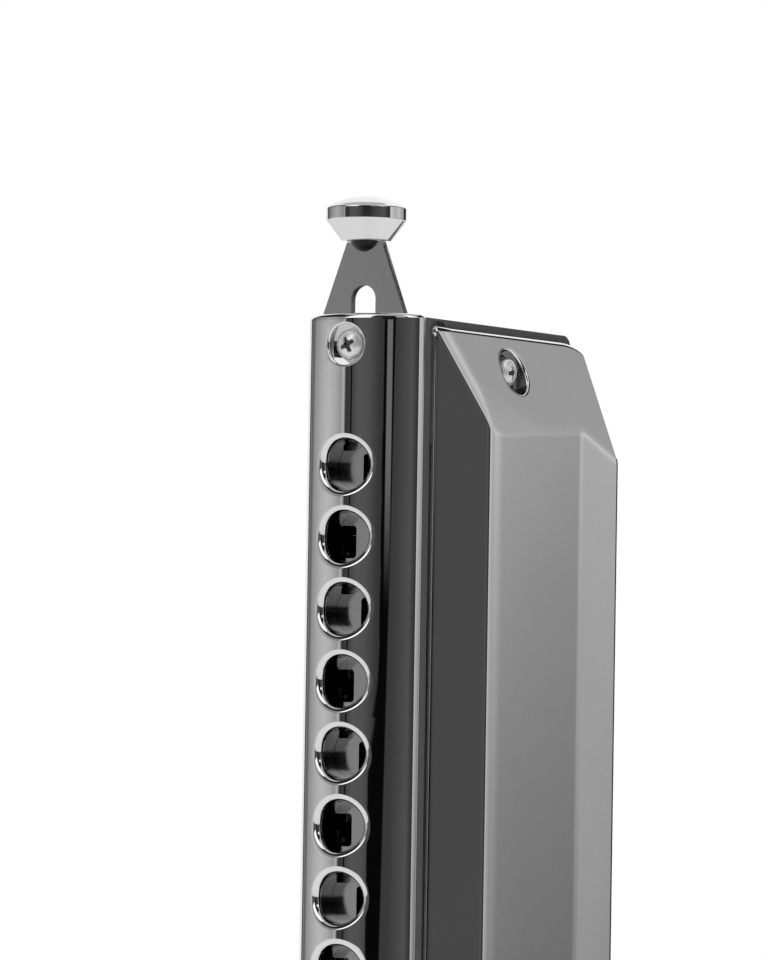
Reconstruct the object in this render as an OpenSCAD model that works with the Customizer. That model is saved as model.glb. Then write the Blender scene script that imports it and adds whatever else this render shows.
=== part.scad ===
// Twelve-hole chromatic harmonica with a sprung slide. It stands on one end: X runs across its
// thickness, Y from the lips to the open back, Z along its length up to the push button.

/* [Body] */
// Number of blow holes
hole_count = 12; // [8:1:16]
// Spacing of the blow holes along the body
hole_pitch = 9.25; // [9.25:0.05:10]
// Distance from each end of the body to the nearest hole's centre
end_margin = 19.25; // [19.25:0.25:24]
// Overall depth, from the lips to the back edge of the covers
depth = 44.7; // [44.7:0.1:47]

/* [Mouthpiece] */
// Width of the mouthpiece across its flat sides
mouth_w = 17.1; // [16.8:0.1:17.4]
// Depth of the mouthpiece, from its front to the comb
mouth_d = 6.2; // [6:0.1:6.6]
// Radius of the rounded front
lip_r = 10.6; // [10.2:0.1:11]
// Radius of the rounded shoulders beside the front
shoulder_r = 6.9; // [6.6:0.1:7.2]
// Diameter of a blow hole
hole_d = 6.6; // [6:0.1:7]
// Distance from each end of the body to the mouthpiece screw
mouth_screw_in = 3.8; // [3.6:0.1:4.2]

/* [Slide] */
// Thickness of the slide plate
slide_t = 1; // [0.8:0.05:1]
// Width of the slide plate
slide_w = 12.8; // [12:0.1:12.9]
// Distance that the button travels
slide_stroke = 4.6; // [4.2:0.05:4.6]
// Length of one opening in the slide
port_l = 4.2; // [3:0.1:4.2]
// Width of one opening in the slide
port_w = 3.4; // [2.5:0.1:3.6]
// Width of the slots that run on the screw bumpers
slot_w = 3.7; // [3.6:0.05:4]
// Height of the button's base above the body
neck_h = 9.75; // [9:0.25:12]

/* [Button] */
// Diameter of the button's rim
button_d = 10.6; // [9:0.1:12]
// Diameter of the button's base
button_base_d = 6.5; // [6:0.1:8]
// Height of the conical part
button_cone_h = 2.65; // [2:0.05:3.5]
// Height of the rim
button_rim_h = 1.7; // [1:0.1:2.5]
// Height of the domed top
button_dome_h = 1.6; // [1:0.1:2]

/* [Comb] */
// Thickness of the comb between the two covers
comb_w = 14.7; // [14:0.1:15]
// Distance from the lips to the comb's back edge
comb_back = 44.1; // [43:0.1:44.1]
// Width of one air chamber along the body
cell_w = 7.6; // [7.2:0.1:7.8]
// Thickness of the wall between the two rows of chambers
mid_wall = 1; // [0.8:0.1:1.4]
// Length of the solid ends that carry the cover bolts
end_land = 8.8; // [8.6:0.1:8.8]
// Distance from the lips to the back of the solid strip in front of the reed plates
front_land = 9.7; // [9:0.1:9.7]

/* [Reeds] */
// Thickness of a reed plate
plate_t = 1.05; // [0.9:0.05:1.2]
// Length of the longest reed
reed_l = 19; // [16:0.5:20]
// Difference in length from one reed to the next
reed_step = 0.6; // [0.4:0.05:0.65]
// Width of a reed
reed_w = 2.1; // [1.8:0.1:2.1]
// Width of the slot under a reed
reed_slot_w = 2.4; // [2.3:0.05:2.5]
// Number of low notes whose slots have valves
valved = 10; // [6:1:12]

/* [Covers] */
// Thickness of the cover sheet
cover_t = 0.6; // [0.5:0.05:0.8]
// Height of a cover's flat top above the middle of the body
top_h = 13.1; // [12.8:0.1:13.4]
// Height of the crease between the front slope and the top
crest_h = 12.9; // [12.5:0.1:13]
// Height of the flared back edge
flare_h = 14.6; // [13.8:0.1:15]
// Height of a cover's end edge
end_h = 8.4; // [8.2:0.1:9]
// Rise of the sloping ends for each millimetre along the body
end_slope = 0.385; // [0.34:0.005:0.45]
// Distance from each end of the body to the cover bolt
bolt_in = 6.1; // [6:0.05:6.2]

/* [Hidden] */
$fn = 64;
eps = 0.01;
fit = 0.05;

// Places along the body
body_l = 2 * end_margin + (hole_count - 1) * hole_pitch;
holes = [for (i = [0 : hole_count - 1]) end_margin + i * hole_pitch];
mouth_screws = [mouth_screw_in, body_l - mouth_screw_in];
cover_bolts_z = [bolt_in, body_l - bolt_in];

// Places behind the lips, as distances from the mouthpiece's front
channel_y = mouth_d - 1.95;
channel_w = slide_w + 0.3;
slide_y = channel_y + fit;
button_y = slide_y + slide_t / 2;
backing_y = slide_y + slide_t + fit;
comb_y = mouth_d + fit;
plate_y = front_land + fit;
plate_back = comb_back - 0.7;
reed_y = front_land + 2.9;
pad_l = 2.6;
foot_y = 9.8;
crest_y = 14.4;
brim_y = 37.9;
bolt_y = 25.2;

// Y of the mouthpiece's front: the button stands out in front of it by the overhang
overhang = max(0, button_d / 2 - button_y);
front = (overhang - depth) / 2;

// Places across the thickness, as distances from the middle
plate_in = comb_w / 2 - plate_t;
plate_out = comb_w / 2;
port_x = 0.45;
port_drop = 0.5;
foot_h = 7.8;
seat_h = plate_out + 1.5;
cover_in = 1;

// Screws, pins and the spring
screw_r = 1;
bumper_r = 1.75;
screw_head_r = 1.95;
counterbore_r = 2.65;
counterbore_d = 1.9;
bolt_head_r = 1.72;
recess_r = 3.1;
nut_r = 2.3;
nut_h = 1.6;
insert_r = 1.7;
insert_l = 8;
spring_z = body_l - 11.25;
spring_y = 11.2;
spring_x = 0.83;
spring_r = 1.35;
wire_r = 0.25;
spring_turns = 3;
arm_z = body_l - 8.65;
post_r = 0.9;
ferrule_r = 2.2;
ferrule_up = 0.8;
tang_w = 2.8;

// Ends of the slide's slots: the upper one stops on its bumper at rest, the lower one when pressed
slot_end = body_l - mouth_screw_in - bumper_r;
slot_top = body_l + 4.1;
fork_end = mouth_screw_in + bumper_r + slide_stroke + 0.05;
slide_end = fork_end - 5;

function reed_len(i) = reed_l - i * reed_step;

// Blow reeds lie below a hole's centre line and draw reeds above it
blow_z = -1.9;
draw_z = 1.9;

// Outline drawn as (Y, Z) and thickened along X
module along_x(x0, x1) {
    translate([x0, front, 0]) rotate([90, 0, 90]) linear_extrude(x1 - x0) children();
}

// Outline drawn as (X, Z) and thickened along Y, from y0 to y1 behind the lips
module along_y(y0, y1) {
    translate([0, front + y1, 0]) rotate([90, 0, 0]) linear_extrude(y1 - y0) children();
}

// Outline drawn as (X, distance behind the lips) and thickened along Z
module along_z(z0, z1) {
    translate([0, front, z0]) linear_extrude(z1 - z0) children();
}

// Box given by its limits, with Y measured from the lips
module block(x, y, z) {
    translate([x[0], front + y[0], z[0]]) cube([x[1] - x[0], y[1] - y[0], z[1] - z[0]]);
}

// Round bar along X at a distance behind the lips and a height
module bar_x(r, x0, x1, y, z) {
    translate([x0, front + y, z]) rotate([0, 90, 0]) cylinder(r = r, h = x1 - x0);
}

// Round bar along Y, starting y0 behind the lips
module bar_y(r, y0, y1, x, z) {
    translate([x, front + y0, z]) rotate([-90, 0, 0]) cylinder(r = r, h = y1 - y0);
}

// Rectangle with round corners
module round_rect(y0, y1, z0, z1, r) {
    translate([y0 + r, z0]) square([y1 - y0 - 2 * r, z1 - z0]);
    translate([y0, z0 + r]) square([y1 - y0, z1 - z0 - 2 * r]);
    for (y = [y0 + r, y1 - r], z = [z0 + r, z1 - r]) translate([y, z]) circle(r);
}

module lower_side() {
    mirror([1, 0, 0]) children();
}

// Screw head standing on Z = 0: a rim edge_h high with a round top that rises dome_h above it
module domed_head(r, edge_h, dome_h) {
    dome_r = (r * r + dome_h * dome_h) / (2 * dome_h);
    intersection() {
        translate([0, 0, edge_h + dome_h - dome_r]) sphere(dome_r);
        cylinder(r = r, h = edge_h + dome_h + 1);
    }
}

// ---- Comb ----

module comb() {
    color("#202022") difference() {
        along_x(-comb_w / 2, comb_w / 2) comb_outline();
        for (s = [0, 1]) mirror([s, 0, 0]) {
            block([plate_in, comb_w], [front_land, depth + 1], [end_land, body_l - end_land]);
            for (i = [0 : hole_count - 1]) chamber(i);
            for (p = plate_screw_places()) bar_x(0.73, plate_in - 3.1, comb_w, p[0], p[1]);
        }
        for (z = cover_bolts_z) bar_x(screw_r + fit, -comb_w, comb_w, bolt_y, z);
        for (z = mouth_screws) bar_y(insert_r + fit, 0, comb_y + insert_l + fit, 0, z);
        for (z = mouth_screws) bar_y(screw_r + fit, 0, comb_y + insert_l + 1.5, 0, z);
        spring_pocket();
        bar_x(post_r + fit, -plate_in - eps, plate_in + eps, spring_y, spring_z);
    }
}

// Square at the front, where it meets the mouthpiece, and rounded at the back corners
module comb_outline() {
    corner_r = 1.8;
    round_rect(comb_y, comb_back, 0, body_l, corner_r);
    translate([comb_y, 0]) square([corner_r, body_l]);
}

// Air chamber of one row, open to the front and to its reed plate
module chamber(i) {
    back = reed_y + reed_len(i) + 1.6;
    block([mid_wall / 2, plate_in + eps], [0, back], [holes[i] - cell_w / 2, holes[i] + cell_w / 2]);
}

module spring_pocket() {
    pocket_w = 4.4;
    block([-pocket_w / 2, pocket_w / 2], [0, spring_y + 3.4], [spring_z - 2.6, arm_z + 1.4]);
}

// ---- Reed plates, reeds, rivets and valves ----

// Screws that hold a reed plate, as (distance behind the lips, height)
function plate_screw_places() = concat(
    [for (z = [end_land + 2.8, body_l - end_land - 2.8]) [17, z]],
    [for (k = [0 : 3]) [40.8, end_land + 3.6 + k * (body_l - 2 * end_land - 7.2) / 3]]
);

module reed_plate() {
    color("#b8964a") difference() {
        block([plate_in, plate_out], [plate_y, plate_back], [end_land + fit, body_l - end_land - fit]);
        for (i = [0 : hole_count - 1]) {
            reed_slot(i, blow_z);
            reed_slot(i, draw_z);
            rivet_shank(i, blow_z, 0.56);
            rivet_shank(i, draw_z, 0.56);
        }
        for (p = plate_screw_places()) bar_x(0.75, plate_in - 1, plate_out + 1, p[0], p[1]);
    }
}

module reed_slot(i, dz) {
    z = holes[i] + dz;
    w = reed_slot_w / 2;
    block([plate_in - 1, plate_out + 1], [reed_y, reed_y + reed_len(i)], [z - w, z + w]);
}

// A blow reed is riveted at its front end and a draw reed at its back end
function rivet_y(i, dz) = dz < 0 ? reed_y - pad_l / 2 : reed_y + reed_len(i) + pad_l / 2;

module rivet_shank(i, dz, r) {
    bar_x(r, plate_in - 1, plate_out + 1, rivet_y(i, dz), holes[i] + dz);
}

// Tongue and thicker root pad, lying on the plate's face at x
module reed(i, dz, x, side) {
    z = holes[i] + dz;
    tongue_t = 0.28;
    pad_t = 0.6;
    gap = 0.2;
    y = rivet_y(i, dz);
    tip = dz < 0 ? [y, reed_y + reed_len(i) - gap] : [reed_y + gap, y];
    difference() {
        union() {
            slab(x, side * tongue_t, tip, z, reed_w);
            slab(x, side * pad_t, [y - pad_l / 2, y + pad_l / 2], z, 2.6);
        }
        bar_x(0.56, x - 2, x + 2, y, z);
    }
}

// Flat strip whose inner face is at x and which is t thick, outward or inward
module slab(x, t, y, z, w) {
    block([min(x, x + t), max(x, x + t)], y, [z - w / 2, z + w / 2]);
}

module blow_reeds() {
    color("#c9a75a") for (i = [0 : hole_count - 1]) reed(i, blow_z, plate_in, -1);
}

module draw_reeds() {
    color("#c9a75a") for (i = [0 : hole_count - 1]) reed(i, draw_z, plate_out, 1);
}

module reed_rivets() {
    color("#d8c07a") for (i = [0 : hole_count - 1]) {
        rivet(i, blow_z, plate_in - 0.6, plate_out, -1);
        rivet(i, draw_z, plate_in, plate_out + 0.6, 1);
    }
}

// Shank through pad and plate, with its head on the pad
module rivet(i, dz, x0, x1, side) {
    y = rivet_y(i, dz);
    z = holes[i] + dz;
    head = side > 0 ? [x1, x1 + 0.25] : [x0 - 0.25, x0];
    bar_x(0.54, x0, x1, y, z);
    bar_x(0.85, head[0], head[1], y, z);
}

// Thin flap over a slot on the side away from its reed
module valve(i, dz, x, side) {
    y = [reed_y - 0.5, reed_y + reed_len(i) + 0.6];
    slab(x, side * 0.2, y, holes[i] + dz, 2.7);
}

module outer_valves() {
    color("#e8e6dc") for (i = [0 : valved - 1]) valve(i, blow_z, plate_out, 1);
}

module inner_valves() {
    color("#e8e6dc") for (i = [0 : valved - 1]) valve(i, draw_z, plate_in, -1);
}

module plate_screws() {
    color("#c8c8cc") for (p = plate_screw_places()) difference() {
        union() {
            bar_x(0.7, plate_in - 3, plate_out + 0.2, p[0], p[1]);
            bar_x(1.2, plate_out, plate_out + 0.55, p[0], p[1]);
        }
        block([plate_out + 0.3, plate_out + 1], [p[0] - 2, p[0] + 2], [p[1] - 0.15, p[1] + 0.15]);
    }
}

// ---- Covers ----

// Solid bounded by the front slope, the top with its flared back and the two sloping ends, inset by t
module cover_form(t) {
    slope_t = t * 1.3;
    end_t = t * 1.07;
    back = t > 0 ? depth + 1 : depth;
    low = t > 0 ? plate_out - 1 : plate_out;
    flare = (flare_h - top_h) / (depth - brim_y);
    peak = flare_h + 1;
    peak_in = cover_in + (peak + end_t - end_h) / end_slope;
    intersection() {
        along_z(0, body_l) polygon([
            [low, foot_y + slope_t], [foot_h, foot_y + slope_t], [crest_h - t, crest_y + t * 0.46],
            [top_h - t, brim_y], [top_h - t + flare * (back - brim_y), back], [low, back]
        ]);
        along_y(0, back) polygon([
            [low, cover_in + t], [end_h - end_t, cover_in + t], [peak, peak_in], [peak, body_l - peak_in],
            [end_h - end_t, body_l - cover_in - t], [low, body_l - cover_in - t]
        ]);
    }
}

// Pressed sheet, open at the back, with a cup round each bolt
module cover(hole_r) {
    color("#d4d4d8") difference() {
        union() {
            difference() {
                cover_form(0);
                cover_form(cover_t);
            }
            intersection() {
                cover_form(0);
                for (z = cover_bolts_z) bar_x(recess_r + cover_t, plate_out, flare_h, bolt_y, z);
            }
        }
        for (z = cover_bolts_z) {
            bar_x(recess_r, seat_h, flare_h, bolt_y, z);
            bar_x(hole_r, 0, flare_h, bolt_y, z);
        }
    }
}

module cover_bolts() {
    color("#e0e0e4") for (z = cover_bolts_z) difference() {
        union() {
            bar_x(screw_r, -seat_h - nut_h - 0.3, seat_h + 0.2, bolt_y, z);
            translate([seat_h, front + bolt_y, z]) rotate([0, 90, 0]) domed_head(bolt_head_r, 0.6, 0.65);
        }
        for (w = [[0.25, 1.1], [1.1, 0.25]]) {
            block([seat_h + 0.5, seat_h + 2], [bolt_y - w[0], bolt_y + w[0]], [z - w[1], z + w[1]]);
        }
    }
}

module cover_nuts() {
    color("#c8c8cc") for (z = cover_bolts_z) difference() {
        translate([-seat_h - nut_h, front + bolt_y, z]) rotate([0, 90, 0])
            cylinder(r = nut_r, h = nut_h, $fn = 6);
        bar_x(screw_r + 0.02, -flare_h, 0, bolt_y, z);
    }
}

// ---- Mouthpiece ----

module mouthpiece() {
    color("#dcdce0") difference() {
        along_z(0, body_l) mouth_outline();
        block([-channel_w / 2, channel_w / 2], [channel_y, mouth_d + 1], [-1, body_l + 1]);
        for (z = holes) bar_y(hole_d / 2, -1, mouth_d, 0, z);
        for (z = mouth_screws) {
            bar_y(counterbore_r, -1, counterbore_d, 0, z);
            bar_y(screw_r + 0.1, 0, mouth_d, 0, z);
        }
    }
}

// A wide arc across the lips that runs on into a tighter shoulder on each side
module mouth_outline() {
    turn = 36;
    shoulder_x = (lip_r - shoulder_r) * sin(turn);
    shoulder_y = lip_r - (lip_r - shoulder_r) * cos(turn);
    reach = 2 * lip_r;
    intersection() {
        union() {
            intersection() {
                translate([0, lip_r]) circle(lip_r, $fn = 128);
                translate([0, lip_r]) polygon([
                    [0, 0], [-reach * sin(turn), -reach * cos(turn)], [reach * sin(turn), -reach * cos(turn)]
                ]);
            }
            for (s = [-1, 1]) translate([s * shoulder_x, shoulder_y]) circle(shoulder_r, $fn = 128);
        }
        translate([-mouth_w / 2, 0]) square([mouth_w, mouth_d]);
    }
}

// Their round tops are nearly flush with the lips
module mouthpiece_screws() {
    color("#e0e0e4") for (z = mouth_screws) difference() {
        union() {
            bar_y(screw_r, counterbore_d - 0.2, comb_y + insert_l, 0, z);
            translate([0, front + counterbore_d, z]) rotate([90, 0, 0]) domed_head(screw_head_r, 0.7, 0.85);
        }
        for (w = [[0.3, 1.25], [1.25, 0.3]]) block([-w[0], w[0]], [0, 1.15], [z - w[1], z + w[1]]);
    }
}

module screw_inserts() {
    color("#c9a75a") for (z = mouth_screws) difference() {
        bar_y(insert_r, comb_y, comb_y + insert_l, 0, z);
        bar_y(screw_r + 0.02, comb_y - 1, comb_y + insert_l + 1, 0, z);
    }
}

// ---- Slide and its button ----

// One opening of the row on side s, for the hole at height z
module port(s, z) {
    x = s > 0 ? port_x : -port_x - port_w;
    low = z - port_drop - port_l / 2;
    round_rect(x, x + port_w, low, low + port_l, 0.5);
}

module slide_backing_plate() {
    backing_w = slide_w - 0.1;
    color("#a8a8ac") along_y(backing_y, mouth_d) difference() {
        translate([-backing_w / 2, 0.3]) square([backing_w, body_l - 0.6]);
        for (z = holes, s = [-1, 1]) port(s, z);
        for (z = mouth_screws) translate([0, z]) circle(screw_r + 0.1);
        translate([spring_x - 0.5, arm_z - slide_stroke - 0.8]) square([1, slide_stroke + 1.5]);
    }
}

// At rest the holes open to the two rows of chambers in turn, and when pressed each to its other row
module slide_plate() {
    color("#b4b4b8") along_y(slide_y, slide_y + slide_t) difference() {
        slide_outline();
        for (i = [0 : hole_count - 1]) {
            s = (hole_count - 1 - i) % 2 == 0 ? 1 : -1;
            port(s, holes[i]);
            port(-s, holes[i] + slide_stroke);
        }
        slot(slot_end, slot_top);
        slot(slide_end - slot_w, fork_end);
        translate([spring_x, arm_z]) circle(0.5);
    }
}

module slide_outline() {
    w = slide_w / 2;
    mouth_end_w = 6.3;
    neck_w = 2.65;
    shoulder = body_l + neck_h - 0.05;
    polygon([
        [-w, slide_end], [w, slide_end], [w, body_l - 0.5], [mouth_end_w, body_l], [neck_w, shoulder],
        [tang_w / 2, shoulder], [tang_w / 2, body_l + neck_h + 2], [-tang_w / 2, body_l + neck_h + 2],
        [-tang_w / 2, shoulder], [-neck_w, shoulder], [-mouth_end_w, body_l], [-w, body_l - 0.5]
    ]);
}

// Slot with round ends, along the middle of the slide
module slot(z0, z1) {
    r = slot_w / 2;
    translate([-r, z0 + r]) square([slot_w, z1 - z0 - slot_w]);
    for (z = [z0 + r, z1 - r]) translate([0, z]) circle(r);
}

module slide_bumpers() {
    color("#d8d8d0") for (z = mouth_screws) difference() {
        bar_y(bumper_r - 0.02, slide_y, slide_y + slide_t, 0, z);
        bar_y(screw_r + 0.02, 0, mouth_d, 0, z);
    }
}

// Line up the button's parts on the slide's neck
module on_neck() {
    translate([0, front + button_y, body_l + neck_h]) children();
}

module slide_button() {
    r = button_d / 2;
    rim = button_cone_h + button_rim_h;
    dome_r = (r * r + button_dome_h * button_dome_h) / (2 * button_dome_h);
    color("#dcdce0") on_neck() difference() {
        union() {
            rotate_extrude() polygon([
                [0, 0], [button_base_d / 2, 0], [r, button_cone_h], [r, rim], [0, rim]
            ]);
            intersection() {
                translate([0, 0, rim + button_dome_h - dome_r]) sphere(dome_r);
                translate([0, 0, button_cone_h]) cylinder(r = r, h = 4);
            }
        }
        translate([0, 0, -1]) cylinder(r = button_socket_r(), h = 1 + 2.4);
    }
}

// The ferrule's ball is cut by the button's base at this radius
function button_socket_r() = sqrt(ferrule_r * ferrule_r - ferrule_up * ferrule_up) + 0.02;

// Ball-ended collar between the slide's tang and the button
module button_ferrule() {
    color("#505054") on_neck() difference() {
        union() {
            intersection() {
                translate([0, 0, ferrule_up]) sphere(ferrule_r);
                translate([-4, -4, -4]) cube([8, 8, 4]);
            }
            cylinder(r = button_socket_r() - 0.02, h = 2.38);
        }
        tang_slot(tang_w, 2.1);
        tang_slot(6, 0);
    }
}

module tang_slot(w, top) {
    translate([-w / 2 - 0.02, -slide_t / 2 - 0.02, -4]) cube([w + 0.04, slide_t + 0.04, 4 + top]);
}

// ---- Spring that pushes the slide back out ----

module spring_post() {
    color("#c8c8cc") bar_x(post_r, -plate_in + fit, plate_in - fit, spring_y, spring_z);
}

// Coil between a short fixed arm in the comb and a long arm that ends in the slide
turn_steps = 12;
coil_steps = turn_steps * spring_turns;
coil_pitch = 2 * spring_x / (spring_turns + 0.25);
coil = [for (k = [0 : coil_steps + turn_steps / 4]) let (a = k * 360 / turn_steps) [
    -spring_x + k / turn_steps * coil_pitch,
    front + spring_y + spring_r * cos(a),
    spring_z + spring_r * sin(a)
]];
spring_path = concat(
    [for (drop = [2.2, 0.6]) [-spring_x, front + spring_y + spring_r, spring_z - drop]],
    coil,
    [[spring_x, front + slide_y + slide_t + 1.2, arm_z], [spring_x, front + slide_y + 0.15, arm_z]]
);

function unit(v) = v / norm(v);
function heading(path, k) = unit(path[min(k + 1, len(path) - 1)] - path[max(k - 1, 0)]);

// Rings of points round a path that mostly lies in planes across X
function ring(path, k, r, n) = let (
    t = heading(path, k), a = unit(cross(t, [1, 0, 0])), b = cross(t, a)
) [for (j = [0 : n - 1]) path[k] + r * (cos(j * 360 / n) * a + sin(j * 360 / n) * b)];

module tube(path, r, n) {
    rings = [for (k = [0 : len(path) - 1]) each ring(path, k, r, n)];
    last = (len(path) - 1) * n;
    sides = [for (k = [0 : len(path) - 2], j = [0 : n - 1])
        [k * n + j, (k + 1) * n + j, (k + 1) * n + (j + 1) % n, k * n + (j + 1) % n]];
    first_cap = [for (j = [0 : n - 1]) j];
    last_cap = [for (j = [n - 1 : -1 : 0]) last + j];
    polyhedron(rings, concat(sides, [first_cap, last_cap]));
}

module slide_spring() {
    color("#c8c8cc") tube(spring_path, wire_r, 8);
}

comb();
reed_plate();  // upper_reed_plate
lower_side() reed_plate();  // lower_reed_plate
blow_reeds();  // upper_blow_reeds
lower_side() blow_reeds();  // lower_blow_reeds
draw_reeds();  // upper_draw_reeds
lower_side() draw_reeds();  // lower_draw_reeds
reed_rivets();  // upper_reed_rivets
lower_side() reed_rivets();  // lower_reed_rivets
outer_valves();  // upper_outer_valves
lower_side() outer_valves();  // lower_outer_valves
inner_valves();  // upper_inner_valves
lower_side() inner_valves();  // lower_inner_valves
plate_screws();  // upper_plate_screws
lower_side() plate_screws();  // lower_plate_screws
cover(screw_r + fit);  // upper_cover
lower_side() cover(screw_r + fit);  // lower_cover
cover_bolts();
cover_nuts();
mouthpiece();
mouthpiece_screws();
screw_inserts();
slide_backing_plate();
slide_bumpers();
slide_spring();
spring_post();
slide_plate();
slide_button();
button_ferrule();
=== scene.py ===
"""Looks of the chromatic harmonica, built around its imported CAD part.

Meshes are written in millimetres as (x, g, z): x across the thickness, g behind the lips, z up.
"""

import math

import bpy
import bmesh
from mathutils import Matrix, Vector


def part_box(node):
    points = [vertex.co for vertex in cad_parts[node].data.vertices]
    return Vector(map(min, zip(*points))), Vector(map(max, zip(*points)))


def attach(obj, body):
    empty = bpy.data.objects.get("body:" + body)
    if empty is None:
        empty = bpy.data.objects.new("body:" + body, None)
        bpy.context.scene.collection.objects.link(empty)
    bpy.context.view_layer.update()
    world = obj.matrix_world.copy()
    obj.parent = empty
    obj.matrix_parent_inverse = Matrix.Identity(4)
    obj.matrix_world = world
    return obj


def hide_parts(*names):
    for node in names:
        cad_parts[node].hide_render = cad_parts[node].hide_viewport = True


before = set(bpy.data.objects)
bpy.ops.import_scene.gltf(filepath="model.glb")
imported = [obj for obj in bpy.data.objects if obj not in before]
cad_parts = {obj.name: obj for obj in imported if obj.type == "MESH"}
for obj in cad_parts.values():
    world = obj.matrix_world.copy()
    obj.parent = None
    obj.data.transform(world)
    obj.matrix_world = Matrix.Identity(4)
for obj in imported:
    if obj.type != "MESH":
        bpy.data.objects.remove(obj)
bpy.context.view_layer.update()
MM = 0.001


def box_mm(node):
    low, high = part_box(node)
    return low / MM, high / MM


# ---- Sizes taken from the CAD part ----

mouth_low, mouth_high = box_mm("mouthpiece")
LIPS_Y = mouth_low.y
LENGTH = mouth_high.z
MOUTH_HALF = mouth_high.x
MOUTH_D = mouth_high.y - LIPS_Y
cover_low, cover_high = box_mm("upper_cover")
FOOT_FORWARD = 0.08
COVER_FOOT = cover_low.y - LIPS_Y - FOOT_FORWARD
COVER_BACK = cover_high.y - LIPS_Y
COVER_BASE = cover_low.x
COVER_IN = cover_low.z
button_low, button_high = box_mm("slide_button")
BUTTON_R = (button_high.x - button_low.x) / 2
BUTTON_G = (button_high.y + button_low.y) / 2 - LIPS_Y
BUTTON_Z = button_low.z
BUTTON_TOP = button_high.z
# Places inside the part, which no node's box gives
SCREW_IN = 3.8
BOLT_IN = 6.1
BOLT_G = 25.2
HOLE_COUNT = 12
HOLE_PITCH = 9.25
FIRST_HOLE_Z = 19.25
HOLE_Z = [FIRST_HOLE_Z + HOLE_PITCH * i for i in range(HOLE_COUNT)]


def to_world(x, g, z):
    return Vector((x * MM, (LIPS_Y + g) * MM, z * MM))


def arc(start, end, steps):
    """Angles in radians from start to end degrees, both included."""
    return [math.radians(start + (end - start) * k / steps) for k in range(steps + 1)]


def ease(t):
    t = min(max(t, 0.0), 1.0)
    return t * t * (3 - 2 * t)


# ---- Materials ----

def link(tree, source, target):
    tree.links.new(source, target)


def noise_texture(tree, coords, scale, detail, stretch):
    mapping = tree.nodes.new("ShaderNodeMapping")
    mapping.inputs["Scale"].default_value = stretch
    link(tree, coords, mapping.inputs["Vector"])
    noise = tree.nodes.new("ShaderNodeTexNoise")
    noise.inputs["Scale"].default_value = scale
    noise.inputs["Detail"].default_value = detail
    link(tree, mapping.outputs["Vector"], noise.inputs["Vector"])
    return noise.outputs["Fac"]


def spread(tree, fac, low, high):
    """The noise value stretched from its usual range to low..high."""
    node = tree.nodes.new("ShaderNodeMapRange")
    node.inputs["From Min"].default_value = 0.3
    node.inputs["From Max"].default_value = 0.7
    node.inputs["To Min"].default_value = low
    node.inputs["To Max"].default_value = high
    link(tree, fac, node.inputs["Value"])
    return node.outputs["Result"]


def material(name, dark, light, metallic, rough, patch=120, grain=2500, bump=0.0, stretch=(1, 1, 1),
             specular=0.5):
    """Colour and roughness drift with soft patches, and a fine grain gives the bump."""
    mat = bpy.data.materials.new(name)
    mat.use_nodes = True
    tree = mat.node_tree
    shader = tree.nodes["Principled BSDF"]
    shader.inputs["Metallic"].default_value = metallic
    shader.inputs["Specular IOR Level"].default_value = specular
    coords = tree.nodes.new("ShaderNodeTexCoord").outputs["Object"]
    patches = noise_texture(tree, coords, patch, 4, stretch)
    fine = noise_texture(tree, coords, grain, 2, stretch)
    mix = tree.nodes.new("ShaderNodeMix")
    mix.data_type = "RGBA"
    mix.inputs["A"].default_value = (*dark, 1)
    mix.inputs["B"].default_value = (*light, 1)
    product = tree.nodes.new("ShaderNodeMath")
    product.operation = "MULTIPLY"
    link(tree, spread(tree, patches, 0.3, 1.0), product.inputs[0])
    link(tree, spread(tree, fine, 0.4, 1.0), product.inputs[1])
    link(tree, product.outputs[0], mix.inputs["Factor"])
    link(tree, mix.outputs["Result"], shader.inputs["Base Color"])
    link(tree, spread(tree, patches, rough[0], rough[1]), shader.inputs["Roughness"])
    if bump:
        node = tree.nodes.new("ShaderNodeBump")
        node.inputs["Strength"].default_value = 1
        node.inputs["Distance"].default_value = bump * MM
        link(tree, fine, node.inputs["Height"])
        link(tree, node.outputs["Normal"], shader.inputs["Normal"])
    return mat


def grey(value):
    return (value, value, value)


CHROME = material("bright_chrome", grey(0.72), grey(0.78), 1, (0.012, 0.03), patch=90, grain=1800)
# Darker chrome on the hole walls and recess floors: painted shade inside the bores
BORE_SHADE_CHROME = material("bore_chrome_painted_shade", grey(0.1), grey(0.2), 1, (0.08, 0.2), patch=500, grain=4000, bump=0.003)
SCREW_CHROME = material("screw_chrome", grey(0.85), grey(0.95), 0.6, (0.32, 0.45), grain=3000, bump=0.003)
# Dark metal in the screws' cross recesses: painted shade
RECESS_SHADE = material("screw_recess_painted_shade", grey(0.06), grey(0.2), 1, (0.35, 0.5), grain=5000, bump=0.004)
NICKEL = material("brushed_nickel", grey(0.46), grey(0.58), 1, (0.12, 0.19), patch=200, grain=6000,
                  bump=0.002, stretch=(1, 1, 0.35))
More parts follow.
